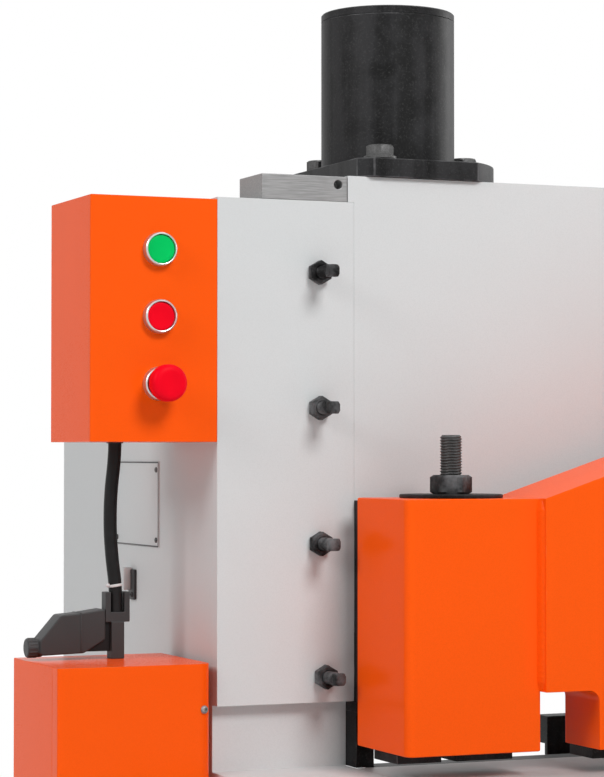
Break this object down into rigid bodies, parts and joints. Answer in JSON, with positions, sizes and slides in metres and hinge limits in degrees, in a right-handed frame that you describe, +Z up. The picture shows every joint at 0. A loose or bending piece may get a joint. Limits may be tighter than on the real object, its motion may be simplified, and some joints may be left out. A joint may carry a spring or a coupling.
{
  "type": "guillotine shear",
  "caption": "Hydraulic guillotine shear for sheet metal: raked blade beam in a two-column frame, sprung hold-down, back gauge, button panel and oil unit under the table.",
  "frame": {"origin": "on the floor, in the middle of the rectangle of the anchor holes", "axes": "+X along the blades to the operator's right, +Y from the operator to the back, +Z up"},
  "size_m": [1.8, 0.765, 1.517],
  "materials": {
    "gray_paint": "semi-gloss light gray paint",
    "orange_paint": "semi-gloss orange paint",
    "black_steel": "black paint or black oxide",
    "bare_steel": "ground",
    "table_steel": "ground and oiled",
    "oiled_steel": "turned, dark with oil",
    "chromed_rod": "hard chrome",
    "cast_iron": "painted casting",
    "spring_rubber": "urethane",
    "bezel_metal": "satin chrome",
    "black_plastic": "moulded",
    "conduit_rubber": "smooth sleeve",
    "green_plastic": "moulded",
    "red_plastic": "moulded",
    "motor_paint": "paint on aluminium"
  },
  "bodies": {
    "frame": {"bed_beam": "gray_paint", "bed_gussets": "gray_paint", "button_bezels": "bezel_metal", "button_box": "orange_paint", "cabinet": "orange_paint", "cabinet_cover": "orange_paint", "clamp_cylinders": "black_steel", "conduit": "conduit_rubber", "conduit_gland": "black_plastic", "contact_blocks": "black_plastic", "crown_plate": "gray_paint", "cylinder_caps": "black_steel", "cylinders": "black_steel", "fan_cover": "motor_paint", "filler_cap": "black_plastic", "flange_bolts": "oiled_steel", "front_plate": "gray_paint", "gauge_rods": "chromed_rod", "gib_nuts": "black_steel", "gib_screws": "black_steel", "gib_strips": "bare_steel", "guide_caps": "bare_steel", "guide_plates": "gray_paint", "left_side_frame": "gray_paint", "lower_blade": "black_steel", "motor": "motor_paint", "oil_tank": "gray_paint", "plug_base": "black_plastic", "plug_hood": "black_plastic", "pump": "cast_iron", "rear_guides": "gray_paint", "rear_stiffener": "gray_paint", "right_side_frame": "gray_paint", "scrap_chute": "gray_paint", "side_stops": "black_steel", "solenoid_valve": "black_plastic", "switchgear": "black_plastic", "table_plate": "table_steel", "tank_lid": "gray_paint", "tie_bars": "gray_paint", "valve_block": "bare_steel"},
    "blade_beam": {"blade_beam": "gray_paint", "upper_blade": "bare_steel", "guide_shoes": "bare_steel", "piston_rods": "chromed_rod"},
    "hold_down": {"hold_down_boxes": "orange_paint", "hold_down_beam": "orange_paint", "clamp_studs": "oiled_steel", "clamp_nuts": "black_steel", "clamp_washers": "black_steel", "clamp_springs": "spring_rubber"},
    "green_button": {"green_button": "green_plastic"},
    "red_button": {"red_button": "red_plastic"},
    "stop_stem": {"stop_stem": "red_plastic"},
    "stop_head": {"stop_head": "red_plastic"},
    "back_gauge": {"gauge_bar": "black_steel", "gauge_carriages": "cast_iron"},
    "left_knob": {"left_gauge_knob": "black_plastic"},
    "right_knob": {"right_gauge_knob": "black_plastic"},
    "motor_shaft": {"motor_shaft": "bare_steel"}
  },
  "joints": [
    {"name": "blade_stroke", "type": "slide", "parent": "frame", "child": "blade_beam", "axis": [0, 0, 1], "range_m": [-0.078, 0]},
    {"name": "hold_down_stroke", "type": "slide", "parent": "frame", "child": "hold_down", "axis": [0, 0, 1], "range_m": [-0.0115, 0], "stiffness_N_per_m": 20000, "springref_m": 0.09, "deforming": ["clamp_springs"]},
    {"name": "green_button_press", "type": "slide", "parent": "frame", "child": "green_button", "axis": [0, 1, 0], "range_m": [0, 0.004], "stiffness_N_per_m": 1500, "springref_m": -0.003},
    {"name": "red_button_press", "type": "slide", "parent": "frame", "child": "red_button", "axis": [0, 1, 0], "range_m": [0, 0.004], "stiffness_N_per_m": 1500, "springref_m": -0.003},
    {"name": "stop_press", "type": "slide", "parent": "frame", "child": "stop_stem", "axis": [0, 1, 0], "range_m": [0, 0.005], "stiffness_N_per_m": 1500, "springref_m": -0.003},
    {"name": "stop_twist", "type": "hinge", "parent": "stop_stem", "child": "stop_head", "pos_m": [-0.85, -0.1275, 1.1635], "axis": [0, 1, 0], "range_deg": [0, 45], "stiffness_Nm_per_rad": 0.2},
    {"name": "gauge_travel", "type": "slide", "parent": "frame", "child": "back_gauge", "axis": [0, 1, 0], "range_m": [-0.04, 0.25]},
    {"name": "left_knob_turn", "type": "hinge", "parent": "back_gauge", "child": "left_knob", "pos_m": [-0.35, 0.0305, 0.735], "axis": [1, 0, 0], "range_deg": [-360, 0]},
    {"name": "right_knob_turn", "type": "hinge", "parent": "back_gauge", "child": "right_knob", "pos_m": [0.35, 0.0305, 0.735], "axis": [1, 0, 0], "range_deg": [0, 360]},
    {"name": "motor_turn", "type": "hinge", "parent": "frame", "child": "motor_shaft", "pos_m": [0, -0.0775, 0.387], "axis": [1, 0, 0], "continuous": true}
  ]
}
